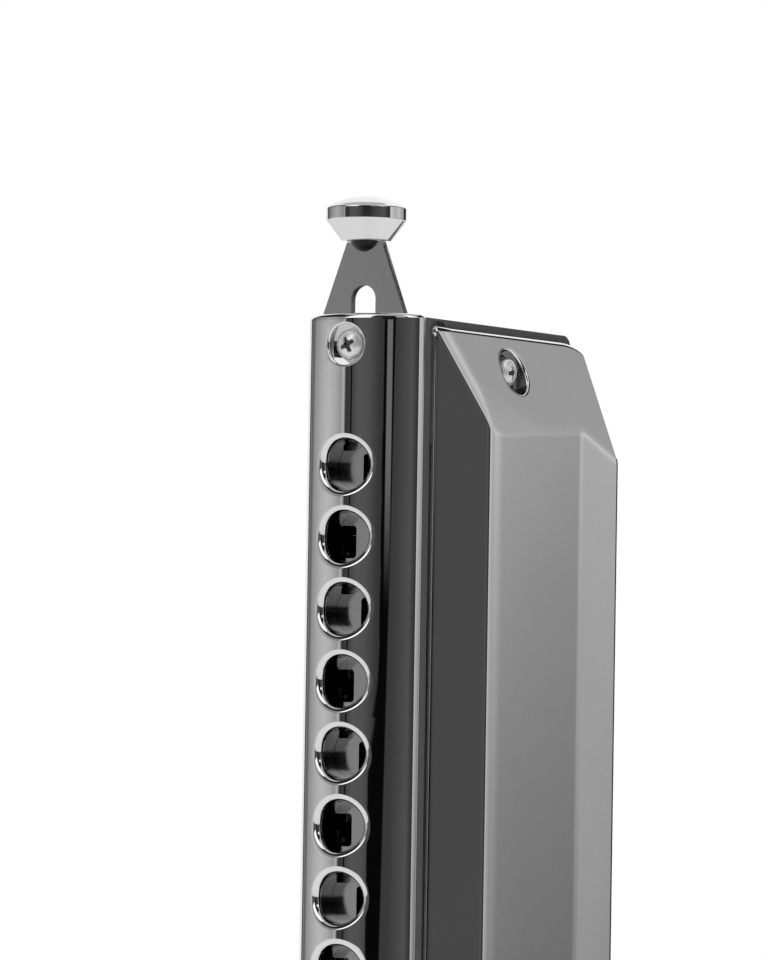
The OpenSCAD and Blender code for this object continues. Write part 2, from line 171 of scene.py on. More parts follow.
# Cut sides of the slide: rough metal, painted darker as shade
CUT_EDGE_SHADE = material("stamped_edge_painted_shade", grey(0.1), grey(0.4), 1, (0.2, 0.45), patch=1500, grain=5000, bump=0.02)
PLASTIC = material("comb_plastic", grey(0.035), grey(0.12), 0, (0.4, 0.55), patch=2600, grain=6000,
                   bump=0.015)
BRASS = material("plate_brass", (0.5, 0.35, 0.14), (0.66, 0.48, 0.22), 1, (0.24, 0.36), grain=4000,
                 bump=0.002, stretch=(1, 1, 0.2))
REED_BRASS = material("reed_brass", (0.56, 0.42, 0.2), (0.7, 0.55, 0.3), 1, (0.2, 0.3), grain=5000,
                      bump=0.002, stretch=(1, 0.2, 1))
RIVET_BRASS = material("rivet_brass", (0.7, 0.58, 0.36), (0.84, 0.74, 0.5), 1, (0.18, 0.28), grain=5000)
FILM = material("valve_film", (0.72, 0.71, 0.66), (0.86, 0.85, 0.8), 0, (0.3, 0.45), grain=5000, bump=0.004)
STEEL = material("plain_steel", grey(0.5), grey(0.62), 1, (0.25, 0.38), grain=4000, bump=0.003)
SPRING = material("spring_steel", grey(0.42), grey(0.56), 1, (0.2, 0.32), grain=4000, bump=0.002)
SILICONE = material("clear_silicone", grey(0.62), grey(0.74), 0, (0.35, 0.5), grain=4000, bump=0.003)
DARK_METAL = material("ferrule_dark", grey(0.01), grey(0.05), 1, (0.25, 0.4), patch=900, grain=6000,
                      bump=0.012)
FLOOR = material("pale_floor", grey(0.6), grey(0.62), 0, (0.6, 0.7), patch=6, grain=60, specular=0.2)

NODE_FINISH = {
    "comb": PLASTIC, "upper_reed_plate": BRASS, "lower_reed_plate": BRASS,
    "upper_blow_reeds": REED_BRASS, "lower_blow_reeds": REED_BRASS,
    "upper_draw_reeds": REED_BRASS, "lower_draw_reeds": REED_BRASS,
    "upper_reed_rivets": RIVET_BRASS, "lower_reed_rivets": RIVET_BRASS,
    "upper_outer_valves": FILM, "lower_outer_valves": FILM,
    "upper_inner_valves": FILM, "lower_inner_valves": FILM,
    "upper_plate_screws": STEEL, "lower_plate_screws": STEEL, "cover_nuts": SCREW_CHROME,
    "screw_inserts": BRASS, "slide_backing_plate": STEEL, "slide_bumpers": SILICONE,
    "slide_spring": SPRING, "spring_post": STEEL, "button_ferrule": DARK_METAL,
}
for node, finish in NODE_FINISH.items():
    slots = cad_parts[node].data.materials
    slots.clear()
    slots.append(finish)


# ---- Building meshes ----

class Patchwork:
    """Faces given by their corners; corners at the same place become one vertex."""

    def __init__(self):
        self.points = []
        self.index = {}
        self.faces = []

    def vertex(self, p):
        key = (round(p[0], 4), round(p[1], 4), round(p[2], 4))
        if key not in self.index:
            self.index[key] = len(self.points)
            self.points.append(p)
        return self.index[key]

    def face(self, *corners):
        ids = []
        for p in corners:
            i = self.vertex(p)
            if i not in ids:
                ids.append(i)
        if len(ids) > 2:
            self.faces.append(ids)

    def strip(self, a, b, closed=False):
        """Quads between two rows of the same length."""
        count = len(a) if closed else len(a) - 1
        for k in range(count):
            j = (k + 1) % len(a)
            self.face(a[k], a[j], b[j], b[k])

    def rows(self, rows, closed=False):
        for a, b in zip(rows, rows[1:]):
            self.strip(a, b, closed)

    def build(self, name, finish, body, slot, nodes, sharp=32, outward=None, dark=None):
        """Makes the piece. outward is a side that faces away from the part, needed where the faces enclose
        nothing, and dark is a second material with the vertices whose faces it covers: painted shade in
        hollows."""
        mesh = bpy.data.meshes.new(name)
        mesh.from_pydata([to_world(*p) for p in self.points], [], self.faces)
        bm = bmesh.new()
        bm.from_mesh(mesh)
        bmesh.ops.recalc_face_normals(bm, faces=bm.faces)
        if outward is not None:
            probe = max(bm.faces, key=lambda f: f.calc_center_median().dot(outward))
            if probe.normal.dot(outward) < 0:
                bmesh.ops.reverse_faces(bm, faces=bm.faces)
        bm.to_mesh(mesh)
        bm.free()
        mesh.polygons.foreach_set("use_smooth", [True] * len(mesh.polygons))
        mesh.set_sharp_from_angle(angle=math.radians(sharp))
        mesh.materials.append(finish)
        if dark is not None:
            mesh.materials.append(dark[0])
            for polygon in mesh.polygons:
                if all(i in dark[1] for i in polygon.vertices):
                    polygon.material_index = 1
        piece = bpy.data.objects.new(name, mesh)
        bpy.context.collection.objects.link(piece)
        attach(piece, body)
        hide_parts(*nodes)
        return piece


def weight_normals(piece):
    modifier = piece.modifiers.new("flat_faces_stay_flat", "WEIGHTED_NORMAL")
    modifier.keep_sharp = True
    modifier.weight = 80


def rim_section(height, centre, direction, radius, fillet, steps):
    """Rounded rim between a surface and a round hole's wall, as (u, v, height) points in one radial plane."""
    def surface(r):
        return height(centre[0] + r * direction[0], centre[1] + r * direction[1])

    r = radius + fillet
    for _ in range(6):
        slope = (surface(r + 0.01) - surface(r - 0.01)) / 0.02
        length = math.hypot(1, slope)
        r = radius + fillet - fillet * slope / length
    middle_r = radius + fillet
    middle_h = surface(r) - fillet / length
    first = math.degrees(math.atan2(1, -slope))
    section = []
    for a in arc(first, 180, steps):
        rr = middle_r + fillet * math.cos(a)
        section.append((centre[0] + rr * direction[0], centre[1] + rr * direction[1],
                        middle_h + fillet * math.sin(a)))
    return r, section


def square_loop(centre, half_u, half_v, side):
    """Points round a rectangle's edge, with side steps on each edge."""
    loop = []
    for k in range(side):
        loop.append((centre[0] + half_u, centre[1] - half_v + 2 * half_v * k / side))
    for k in range(side):
        loop.append((centre[0] + half_u - 2 * half_u * k / side, centre[1] + half_v))
    for k in range(side):
        loop.append((centre[0] - half_u, centre[1] + half_v - 2 * half_v * k / side))
    for k in range(side):
        loop.append((centre[0] - half_u + 2 * half_u * k / side, centre[1] - half_v))
    return loop


RIM_STEPS = 7
CELL_RINGS = 5


def pierced_cell(work, height, place, centre, half_u, half_v, side, radius, fillet, levels, bore):
    """A rectangle of surface with a round hole. levels are (radius, height) rings that lead on down the hole.
    place turns (u, v, height) into a point of the mesh. bore collects the corners inside the hole, whose
    faces get painted shade.
    Returns the last ring."""
    loop = square_loop(centre, half_u, half_v, side)
    columns = []
    for u, v in loop:
        du, dv = u - centre[0], v - centre[1]
        size = math.hypot(du, dv)
        d = (du / size, dv / size)
        r, section = rim_section(height, centre, d, radius, fillet, RIM_STEPS)
        column = []
        for k in range(CELL_RINGS):
            rr = size + (r - size) * k / CELL_RINGS
            uu, vv = centre[0] + rr * d[0], centre[1] + rr * d[1]
            column.append(place(uu, vv, height(uu, vv)))
        column += [place(*p) for p in section]
        for ring_r, ring_h in levels:
            column.append(place(centre[0] + ring_r * d[0], centre[1] + ring_r * d[1], ring_h))
        bore.update(work.vertex(p) for p in column[-len(levels) - 1:])
        columns.append(column)
    rows = [list(row) for row in zip(*columns)]
    work.rows(rows, closed=True)
    return rows[-1]


# ---- Mouthpiece ----

LIP_R = 10.6
SHOULDER_R = 6.9
SHOULDER_TURN = 36
BAND = 5.2
SIDE = 20
CHANNEL_X = 6.55
CHANNEL_G = 4.25
EDGE_R = 0.7
EDGE_STEPS = 10
GAP_STEPS = 6
TOP_LIP = 0.22
CORNER_R = 1.7
HOLE_R = 3.3
HOLE_RIM = 0.8
BORE_DEPTHS = (2.2, 2.9, 3.6, CHANNEL_G)
COUNTER_R = 2.65
COUNTER_RIM = 0.25
COUNTER_D = 1.9
COUNTER_DEPTHS = (1.2, COUNTER_D)
SCREW_HOLE_R = 1.1


def lip_height(x, z):
    return math.sqrt(LIP_R ** 2 - x * x) - LIP_R


def mouth_outline():
    """Right half of the outer outline beyond the band of holes, as (x, g, offset direction)."""
    turn = math.radians(SHOULDER_TURN)
    shoulder_x = (LIP_R - SHOULDER_R) * math.sin(turn)
    shoulder_g = LIP_R - (LIP_R - SHOULDER_R) * math.cos(turn)
    corner_x = MOUTH_HALF - CORNER_R
    reach = SHOULDER_R - CORNER_R
    corner_turn = math.degrees(math.asin((corner_x - shoulder_x) / reach))
    corner_g = shoulder_g - reach * math.cos(math.radians(corner_turn))
    band_turn = math.degrees(math.asin(BAND / LIP_R))
    points = []
    for a in arc(band_turn, SHOULDER_TURN, 4)[:-1]:
        points.append((LIP_R * math.sin(a), LIP_R - LIP_R * math.cos(a), math.sin(a), -math.cos(a)))
    for a in arc(SHOULDER_TURN, corner_turn, 16)[:-1]:
        points.append((shoulder_x + SHOULDER_R * math.sin(a), shoulder_g - SHOULDER_R * math.cos(a),
                       math.sin(a), -math.cos(a)))
    for a in arc(corner_turn, 90, 8)[:-1]:
        points.append((corner_x + CORNER_R * math.sin(a), corner_g - CORNER_R * math.cos(a),
                       math.sin(a), -math.cos(a)))
    back_turn = math.degrees(math.acos((corner_g - MOUTH_D) / CORNER_R))
    for a in arc(90, back_turn, 10):
        points.append((corner_x + CORNER_R * math.sin(a), corner_g - CORNER_R * math.cos(a), 1, 0))
    return points


def mouth_rows():
    """The mesh's rows as (z, inset, whether a pierced cell starts or goes on there), and the cells as
    (z, half height, kind)."""
    cells = [(SCREW_IN, SCREW_IN - EDGE_R, "screw")]
    cells += [(z, HOLE_PITCH / 2, "hole") for z in HOLE_Z]
    cells += [(LENGTH - SCREW_IN, SCREW_IN - EDGE_R, "screw")]
    rows = [(EDGE_R - EDGE_R * math.sin(a), EDGE_R - EDGE_R * math.cos(a), False)
            for a in arc(90, 0, EDGE_STEPS)[:-1]]
    at = EDGE_R
    for z, half, _ in cells:
        gap = z - half - at
        if gap > 0.01:
            rows += [(at + gap * k / GAP_STEPS, 0.0, False) for k in range(GAP_STEPS)]
        rows += [(z - half + 2 * half * k / SIDE, 0.0, True) for k in range(SIDE)]
        at = z + half
    rows += [(LENGTH - EDGE_R, 0.0, False)]
    rows += [(LENGTH + TOP_LIP - EDGE_R + EDGE_R * math.sin(a), EDGE_R - EDGE_R * math.cos(a), False)
             for a in arc(0, 90, EDGE_STEPS)]
    return rows, cells


def make_mouthpiece():
    work = Patchwork()
    right = mouth_outline()
    band_x = [-BAND + 2 * BAND * k / SIDE for k in range(SIDE + 1)]
    rows, cells = mouth_rows()
    ring = []
    for z, inset, pierced in rows:
        outer = [(x - nx * inset, g - ng * inset, z) for x, g, nx, ng in right]
        band = []
        for x in band_x:
            a = math.asin(x / LIP_R)
            band.append(((LIP_R - inset) * math.sin(a), LIP_R - (LIP_R - inset) * math.cos(a), z))
        channel = [(CHANNEL_X, MOUTH_D, z), (CHANNEL_X, CHANNEL_G, z), (BAND, CHANNEL_G, z)]
        floor = [(x, CHANNEL_G, z) for x in band_x]
        ring.append((outer, channel, band, floor, pierced))
    for low, high in zip(ring, ring[1:]):
        low_outer, low_channel, low_band, low_floor, pierced = low
        high_outer, high_channel, high_band, high_floor, _ = high
        for s in (1, -1):
            work.strip([(s * x, g, z) for x, g, z in low_outer + low_channel],
                       [(s * x, g, z) for x, g, z in high_outer + high_channel])
        if not pierced:
            work.strip(low_band, high_band)
            work.strip(low_floor, high_floor)
    for outer, channel, band, floor, _ in (ring[0], ring[-1]):
        work.strip(band, floor)
        for s in (1, -1):
            work.face(*[(s * x, g, z) for x, g, z in [band[-1]] + outer + channel])
    bore = set()
    for z, half, kind in cells:
        if kind == "hole":
            levels = [(HOLE_R, -depth) for depth in BORE_DEPTHS]
            radius, rim = HOLE_R, HOLE_RIM
        else:
            levels = [(COUNTER_R, -depth) for depth in COUNTER_DEPTHS]
            levels += [(SCREW_HOLE_R, -depth) for depth in (COUNTER_D, CHANNEL_G)]
            radius, rim = COUNTER_R, COUNTER_RIM
        last = pierced_cell(work, lip_height, lambda u, v, h: (u, -h, v), (0, z), BAND, half, SIDE,
                            radius, rim, levels, bore if kind == "hole" else set())
        edge = [(u, CHANNEL_G, v) for u, v in square_loop((0, z), BAND, half, SIDE)]
        work.strip(last, edge, closed=True)
    # The hole walls take the darker chrome: painted shade
    work.build("mouthpiece_shell", CHROME, "body", "mouthpiece_chrome", ["mouthpiece"],
               dark=(BORE_SHADE_CHROME, bore))


make_mouthpiece()


# ---- Covers ----

END_H = 8.1
END_TILT = 0.0125
END_SLOPE = 0.385
FOOT_H = 7.8
FOOT_ROUND = 0.9
END_ROUND = 1.05
RECESS_R = 2.9
RECESS_RIM = 0.4
RECESS_FLOOR = 8.85
RECESS_EDGE = 0.15
BOLT_HOLE_R = 1.06
SHEET_T = 0.6
HIP_DROP = 0.3
HIP_SHARE = 0.36
HIP_REACH = 2.3
CROWN_REACH = 0.3
CROWN_START = 15
CROWN_BLEND = 14
CORNER_START = 39.8
CORNER_CUT = 1.5
CORNER_BLEND = 8
CELL = 4.2
CELL_SIDE = 28
EDGE_TURNS = 10
ROLL_STEPS = 12
CREST_END = 19
FLARE_START = 36.5
FLARE_END = 39.2
HIPS_END = 18
BEND_STEP = 0.16
CROWN_STEP = 0.4
REAR_STEP = 0.45
FLARE_STEP = 0.18
BACK_STEP = 0.35
END_STEP = 0.2
MIDDLE_STEP = 4
# Rise of the cover's profile for each millimetre behind the lips: front slope, crest, crown, flare
COVER_SLOPES = ((9.8, 0.847), (15.1, 0.847), (15.6, 0.4), (16.35, 0.14), (18.25, 0.03), (28, 0.005),
                (36.9, -0.025), (38.4, 0.225), (44.7, 0.2))


def profile_height(g):
    """Height of the cover's middle section, by summing its slopes."""
    height = FOOT_H
    for (g0, m0), (g1, m1) in zip(COVER_SLOPES, COVER_SLOPES[1:]):
        if g <= g0:
            break
        step = min(g, g1) - g0
        height += step * (m0 + (m1 - m0) * step / (g1 - g0) / 2)
    return height


def hip_rounding(d, reach):
    """Smooth version of min(d, 0): it turns quickly from the first plane and settles slowly on the second."""
    start = -(HIP_DROP * (1 + HIP_SHARE) + HIP_SHARE * reach) / 2
    t = d - start
    if t <= 0:
        return d
    if t < HIP_DROP:
        return d - (1 - HIP_SHARE) * t * t / (2 * HIP_DROP)
    rest = reach - (t - HIP_DROP)
    return -HIP_SHARE * rest * rest / (2 * reach) if rest > 0 else 0.0


def cover_height(g, z):
    s = min(z, LENGTH - z)
    top = profile_height(g)
    end = END_H + END_TILT * (g - COVER_FOOT) + END_SLOPE * (s - COVER_IN)
    reach = HIP_REACH + (CROWN_REACH - HIP_REACH) * ease((g - CROWN_START) / CROWN_BLEND)
    return end + hip_rounding(top - end, reach)


def corner_inset(g):
    """The covers' ends are cut back round their rear corners."""
    t = max(g - CORNER_START, 0) / (COVER_BACK - CORNER_START)
    return CORNER_CUT * (1 - math.sqrt(max(1 - t * t * 0.98, 0)))


def shifted(g, z):
    """z drawn in at the covers' ends by the cut of their rear corners."""
    s = min(z, LENGTH - z)
    inset = corner_inset(g) * (1 - ease((s - COVER_IN) / CORNER_BLEND))
    return z + inset if z < LENGTH / 2 else z - inset


def spaced(a, b, step):
    count = max(1, round((b - a) / step))
    return [a + (b - a) * k / count for k in range(count)]


def cover_lines():
    """The grid's lines along the cover and across it, closest where the surface bends and at its ends."""
    cell_g = (BOLT_G - CELL, BOLT_G + CELL)
    cell_s = (BOLT_IN - CELL, BOLT_IN + CELL)
    fine = 2 * CELL / CELL_SIDE
    front_slope = COVER_SLOPES[0][1]
    first_g = COVER_FOOT + FOOT_ROUND * (1 - front_slope / math.hypot(1, front_slope))
    first_s = COVER_IN + END_ROUND * (1 - END_SLOPE / math.hypot(1, END_SLOPE))
    g_lines = spaced(first_g, CREST_END, BEND_STEP) + spaced(CREST_END, cell_g[0], CROWN_STEP)
    g_lines += spaced(*cell_g, fine) + spaced(cell_g[1], FLARE_START, REAR_STEP)
    g_lines += spaced(FLARE_START, FLARE_END, FLARE_STEP) + spaced(FLARE_END, COVER_BACK, BACK_STEP)
    g_lines += [COVER_BACK]
    s_lines = spaced(first_s, cell_s[0], END_STEP) + spaced(*cell_s, fine)
    s_lines += spaced(cell_s[1], HIPS_END, END_STEP) + spaced(HIPS_END, LENGTH / 2, MIDDLE_STEP)
    z_lines = s_lines + [LENGTH / 2] + [LENGTH - s for s in reversed(s_lines)]
    return g_lines, z_lines


def surface_point(g, z):
    z = shifted(g, z)
    return (cover_height(g, z), g, z)


def surface_normal(g, z):
    z = shifted(g, z)
    d = 0.02
    slope_g = (cover_height(g + d, z) - cover_height(g - d, z)) / (2 * d)
    slope_z = (cover_height(g, z + d) - cover_height(g, z - d)) / (2 * d)
    return Vector((1, -slope_g, -slope_z)).normalized()


def make_cover(name, node, side):
    work = Patchwork()
    g_lines, z_lines = cover_lines()
    grid = [[surface_point(g, z) for g in g_lines] for z in z_lines]
    bolts = (BOLT_IN, LENGTH - BOLT_IN)
    for j in range(len(z_lines) - 1):
        for i in range(len(g_lines) - 1):
            g = (g_lines[i] + g_lines[i + 1]) / 2
            z = (z_lines[j] + z_lines[j + 1]) / 2
            if abs(g - BOLT_G) < CELL and min(abs(z - b) for b in bolts) < CELL:
                continue
            work.face(grid[j][i], grid[j][i + 1], grid[j + 1][i + 1], grid[j + 1][i])
    bore = set()
    for z in bolts:
        levels = [(RECESS_R, RECESS_FLOOR + RECESS_EDGE), (RECESS_R - RECESS_EDGE, RECESS_FLOOR),
                  (BOLT_HOLE_R, RECESS_FLOOR)]
        pierced_cell(work, cover_height, lambda u, v, h: (h, u, v), (BOLT_G, z), CELL, CELL, CELL_SIDE,
                     RECESS_R, RECESS_RIM, levels, bore)
    # Rolled edges at the foot and at both ends, which come down to the plates
    border = []
    last = len(g_lines) - 1
    for i in range(last, 0, -1):
        border.append((g_lines[i], z_lines[0], (0, -1)))
    for a in arc(270, 180, EDGE_TURNS):
        border.append((g_lines[0], z_lines[0], (math.cos(a), math.sin(a))))
    for z in z_lines[1:-1]:
        border.append((g_lines[0], z, (-1, 0)))
    for a in arc(180, 90, EDGE_TURNS):
        border.append((g_lines[0], z_lines[-1], (math.cos(a), math.sin(a))))
    for i in range(1, last + 1):
        border.append((g_lines[i], z_lines[-1], (0, 1)))
    columns = []
    for g, z, (out_g, out_z) in border:
        normal = surface_normal(g, z)
        start = Vector(surface_point(g, z))
        radius = FOOT_ROUND + (END_ROUND - FOOT_ROUND) * abs(out_z)
        out = Vector((0, out_g, out_z))
        column = [surface_point(g, z)]
        for k in range(1, ROLL_STEPS + 1):
            turned = normal.slerp(out, k / ROLL_STEPS)
            column.append(tuple(start + (turned - normal) * radius))
        column.append((COVER_BASE, column[-1][1], column[-1][2]))
        columns.append(column)
    work.rows([list(row) for row in zip(*columns)])
    work.points = [(side * x, g, z) for x, g, z in work.points]
    # The bolt recesses take the darker chrome: painted shade
    piece = work.build(name, CHROME, "body", "cover_chrome", [node], sharp=60,
                       outward=Vector((side, 0, 0)), dark=(BORE_SHADE_CHROME, bore))
    sheet = piece.modifiers.new("sheet", "SOLIDIFY")
    sheet.thickness = SHEET_T * MM
    sheet.offset = -1


make_cover("upper_cover_shell", "upper_cover", 1)
make_cover("lower_cover_shell", "lower_cover", -1)


# ---- Screws with a cross recess ----

def cross_depth(u, v, turn, size):
    """Depth of the cross recess at a point of the head, as a share of its full depth."""
    c, s = math.cos(turn), math.sin(turn)
    a, b = abs(c * u + s * v) / size, abs(c * v - s * u) / size
    depth = 0.0
    for along, across in ((a, b), (b, a)):
        arm = (1 - ease((across - 0.2) / 0.09)) * (1 - ease((along - 0.85) / 0.14))
        depth = max(depth, arm * (1 - 0.55 * min(along, 1)))
    centre = 1 - ease((math.hypot(a, b) - 0.3) / 0.25)
    return max(depth, centre * 0.95)


SCREW_TURNS = 144
HEAD_RINGS = 40
HEAD_EDGE = 0.12
TIP_EDGE = 0.2


def screw_rings(head_r, edge_h, dome_h, shank_r, shank_l, turn, size, depth):
    """Rings of (radius, height above the seat, share of the recess's depth), from the head's middle to
    the tip. turn, size and depth are the cross recess's."""
    dome_r = (head_r ** 2 + dome_h ** 2) / (2 * dome_h)
    rings = []
    for k in range(1, HEAD_RINGS + 1):
        r = (head_r - HEAD_EDGE) * k / HEAD_RINGS
        h = edge_h + dome_h - dome_r + math.sqrt(dome_r ** 2 - r * r)
        ring = []
        for j in range(SCREW_TURNS):
            t = 2 * math.pi * j / SCREW_TURNS
            share = cross_depth(r * math.cos(t), r * math.sin(t), turn, size)
            ring.append((r, h - depth * share, share))
        rings.append(ring)
    rim_h = edge_h + dome_h - dome_r + math.sqrt(dome_r ** 2 - (head_r - HEAD_EDGE) ** 2)
    for r, h in ((head_r - 0.04, rim_h - 0.07), (head_r, rim_h - 0.18), (head_r, 0.0), (shank_r, 0.0),
                 (shank_r, -shank_l + TIP_EDGE), (shank_r - TIP_EDGE, -shank_l)):
        rings.append([(r, h, 0.0)] * SCREW_TURNS)
    return rings, edge_h + dome_h - depth


def add_screw(work, recess, base, axis, across, shape):
    """base is on the seat; axis points out of the head and across is any direction square to it.
    recess collects the corners inside the cross, whose faces get painted shade."""
    axis, across = Vector(axis), Vector(across)
    other = axis.cross(across)
    rings, middle_h = screw_rings(**shape)
    rows = []
    for ring in rings:
        row = []
        for j, (r, h, share) in enumerate(ring):
            t = 2 * math.pi * j / len(ring)
            p = tuple(Vector(base) + axis * h + across * r * math.cos(t) + other * r * math.sin(t))
            row.append(p)
            if share > 0.3:
                recess.add(work.vertex(p))
        rows.append(row)
    top = tuple(Vector(base) + axis * middle_h)
    recess.add(work.vertex(top))
    first = rows[0]
    for j in range(len(first)):
        work.face(top, first[j], first[(j + 1) % len(first)])
    work.rows(rows, closed=True)
    work.face(*rows[-1])


MOUTH_SCREW = {"head_r": 1.97, "edge_h": 0.7, "dome_h": 0.85, "shank_r": 1, "shank_l": 12.35,
               "turn": math.radians(25), "size": 1.12, "depth": 0.8}
COVER_BOLT = {"head_r": 1.75, "edge_h": 0.6, "dome_h": 0.65, "shank_r": 1, "shank_l": 19.6,
              "turn": math.radians(8), "size": 1.0, "depth": 0.7}


def make_screw_pair(name, node, inset, g, x, axis, across, shape):
    """One screw at each end of the body, inset from the end."""
    work, recess = Patchwork(), set()
    for z in (inset, LENGTH - inset):
        add_screw(work, recess, (x, g, z), axis, across, shape)
    # The cross recesses take the dark metal: painted shade
    work.build(name, SCREW_CHROME, "body", "screw_chrome", [node], sharp=50, dark=(RECESS_SHADE, recess))


make_screw_pair("mouthpiece_screw_pair", "mouthpiece_screws", SCREW_IN, COUNTER_D, 0, (0, -1, 0), (1, 0, 0),
                MOUTH_SCREW)
make_screw_pair("cover_bolt_pair", "cover_bolts", BOLT_IN, BOLT_G, RECESS_FLOOR, (1, 0, 0), (0, 1, 0),
                COVER_BOLT)


# ---- Button ----

CONE_BASE_R = 3.25
CONE_H = 2.65
RIM_H = 1.7
RIM_EDGE = 0.22
RIM_TURN = 65
CONE_EDGE = 0.1
SOCKET_R = 2.07
SOCKET_H = 2.4
DOME_STEPS = 24
BUTTON_TURNS = 128


def button_profile():
    """(radius, height) from the socket's middle, over the cone and the rim, to the top of the dome."""
    rim_top = CONE_H + RIM_H
    dome_h = BUTTON_TOP - BUTTON_Z - rim_top
    dome_r = (BUTTON_R ** 2 + dome_h ** 2) / (2 * dome_h)
    profile = [(0.0, SOCKET_H), (SOCKET_R, SOCKET_H), (SOCKET_R, 0.0), (CONE_BASE_R - 0.12, 0.0)]
    profile += [(CONE_BASE_R - 0.02, 0.04), (CONE_BASE_R + 0.06, 0.14)]
    profile += [(BUTTON_R - CONE_EDGE, CONE_H - CONE_EDGE * 0.9), (BUTTON_R - 0.03, CONE_H - 0.02)]
    profile += [(BUTTON_R, CONE_H + CONE_EDGE), (BUTTON_R, CONE_H + CONE_EDGE + 0.05)]
    profile += [(BUTTON_R, rim_top - RIM_EDGE - 0.05)]
    edge_r, edge_h = BUTTON_R - RIM_EDGE, rim_top - RIM_EDGE
    for a in arc(0, RIM_TURN, 6):
        profile.append((edge_r + RIM_EDGE * math.cos(a), edge_h + RIM_EDGE * math.sin(a)))
    for k in range(1, DOME_STEPS + 1):
        a = math.asin((BUTTON_R - 0.2) / dome_r) * (1 - k / DOME_STEPS)
        profile.append((dome_r * math.sin(a), rim_top + dome_h - dome_r + dome_r * math.cos(a)))
    return profile


def make_button():
    """The profile turned round the slide's axis."""
    work = Patchwork()
    rows = []
    for r, h in button_profile():
        turns = [2 * math.pi * j / BUTTON_TURNS for j in range(BUTTON_TURNS)]
        rows.append([(r * math.cos(t), BUTTON_G + r * math.sin(t), BUTTON_Z + h) for t in turns])
    work.rows(rows, closed=True)
    piece = work.build("push_button", CHROME, "slide", "button_chrome", ["slide_button"], sharp=40)
    weight_normals(piece)


make_button()


# ---- Slide plate with eased edges ----

def soften(name, node, width, finish, edge_highlight_finish, cut_shade_finish, body):
    """A copy of a flat CAD part with rough cut sides, painted darker as shade, and slightly bevelled edges
    in a brighter chrome, a painted highlight.
    """
    bm = bmesh.new()
    bm.from_mesh(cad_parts[node].data)
    bmesh.ops.remove_doubles(bm, verts=bm.verts, dist=1e-6)
    bmesh.ops.dissolve_limit(bm, angle_limit=math.radians(2), verts=bm.verts, edges=bm.edges)
    mesh = bpy.data.meshes.new(name)
    bm.to_mesh(mesh)
    bm.free()
    mesh.polygons.foreach_set("use_smooth", [True] * len(mesh.polygons))
    mesh.set_sharp_from_angle(angle=math.radians(30))
    mesh.materials.append(finish)
    mesh.materials.append(edge_highlight_finish)
    mesh.materials.append(cut_shade_finish)
    for polygon in mesh.polygons:
        # The plate's sides take the darker metal: painted shade
        if abs(polygon.normal.y) < 0.5:
            polygon.material_index = 2
    piece = bpy.data.objects.new(name, mesh)
    bpy.context.collection.objects.link(piece)
    # The bevels take the bright chrome: a painted highlight along the edges
    edges = piece.modifiers.new("eased_edges", "BEVEL")
    edges.material = 1
    edges.width = width * MM
    edges.segments = 1
    edges.limit_method = "ANGLE"
    edges.angle_limit = math.radians(40)
    edges.harden_normals = True
    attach(piece, body)
    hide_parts(node)


# Nickel faces, sides painted dark as shade, bevels in bright chrome as a painted highlight
soften("slide_blade", "slide_plate", 0.12, NICKEL, CHROME, CUT_EDGE_SHADE, "slide")


# ---- Camera ----

CAMERA_AZIMUTH = math.radians(32.87)
CAMERA_DISTANCE = 868.2
CAMERA_HEIGHT = 75.4
AIM_TURN = math.radians(-0.353)
AIM_PITCH = math.radians(2.88)
ROLL = math.radians(0.933)
LENS_MM = 254.6


def make_camera():
    heading = CAMERA_AZIMUTH + AIM_TURN
    forward = Vector((-math.sin(heading) * math.cos(AIM_PITCH), math.cos(heading) * math.cos(AIM_PITCH),
                      math.sin(AIM_PITCH)))
    level = Vector((math.cos(heading), math.sin(heading), 0))
    upright = level.cross(forward)
    right = level * math.cos(ROLL) + upright * math.sin(ROLL)
    up = upright * math.cos(ROLL) - level * math.sin(ROLL)
    data = bpy.data.cameras.new("camera")
    data.lens = LENS_MM
    data.sensor_width = 36
    data.clip_start = 0.05
    data.clip_end = 50
    camera = bpy.data.objects.new("camera", data)
    bpy.context.collection.objects.link(camera)
    place = to_world(CAMERA_DISTANCE * math.sin(CAMERA_AZIMUTH), -CAMERA_DISTANCE * math.cos(CAMERA_AZIMUTH),
                     CAMERA_HEIGHT)
    axes = Matrix((right, up, -forward)).transposed()
    camera.matrix_world = Matrix.Translation(place) @ axes.to_4x4()
    bpy.context.scene.camera = camera


make_camera()


# ---- Studio ----

CHROME_TONE = 0.75


def light_level(shade):
    """Strength of the room that chrome shows as this 8-bit shade."""
    v = shade / 255
    linear = v / 12.92 if v < 0.04045 else ((v + 0.055) / 1.055) ** 2.4
    return linear / CHROME_TONE


# Shade of the room round the object: degrees from the lips' direction towards +X, then the shade.
# White behind, a softbox on the left, the dark room with the camera, and a softbox at the right rear.
ROOM = ((-180, 240), (-140, 232), (-112, 222), (-109.5, 12), (-107, 15), (-104, 125), (-99, 85),
        (-92, 140), (-72, 172), (-60, 182), (-48, 170), (-37, 144), (-33, 180), (-30, 50), (-20, 62),
        (-10, 82), (4, 78), (22, 52), (48, 58), (82, 78), (92, 56), (101, 42), (104, 198),
        (112, 178), (122, 164), (136, 178), (147, 150), (154, 144), (159, 138), (162, 22), (176, 10),
        (179, 240))
# Lamps above the softboxes, as degrees round from and to, then degrees up from and to
LAMPS = ((-33, 6, 13, 66), (73, 100, 28, 66), (44, 66, 29, 38))
LAMP_LEVEL = 1.4
OVERHEAD_LEVEL = 0.56
SWEEP_LEVEL = 0.9
LENS_SHADE = 103
STAND_BLACK = 0.003
UPRIGHT_BLACK = 0.004
ABOVE_BLACK = 0.012
CEILING_BLACK = 0.02


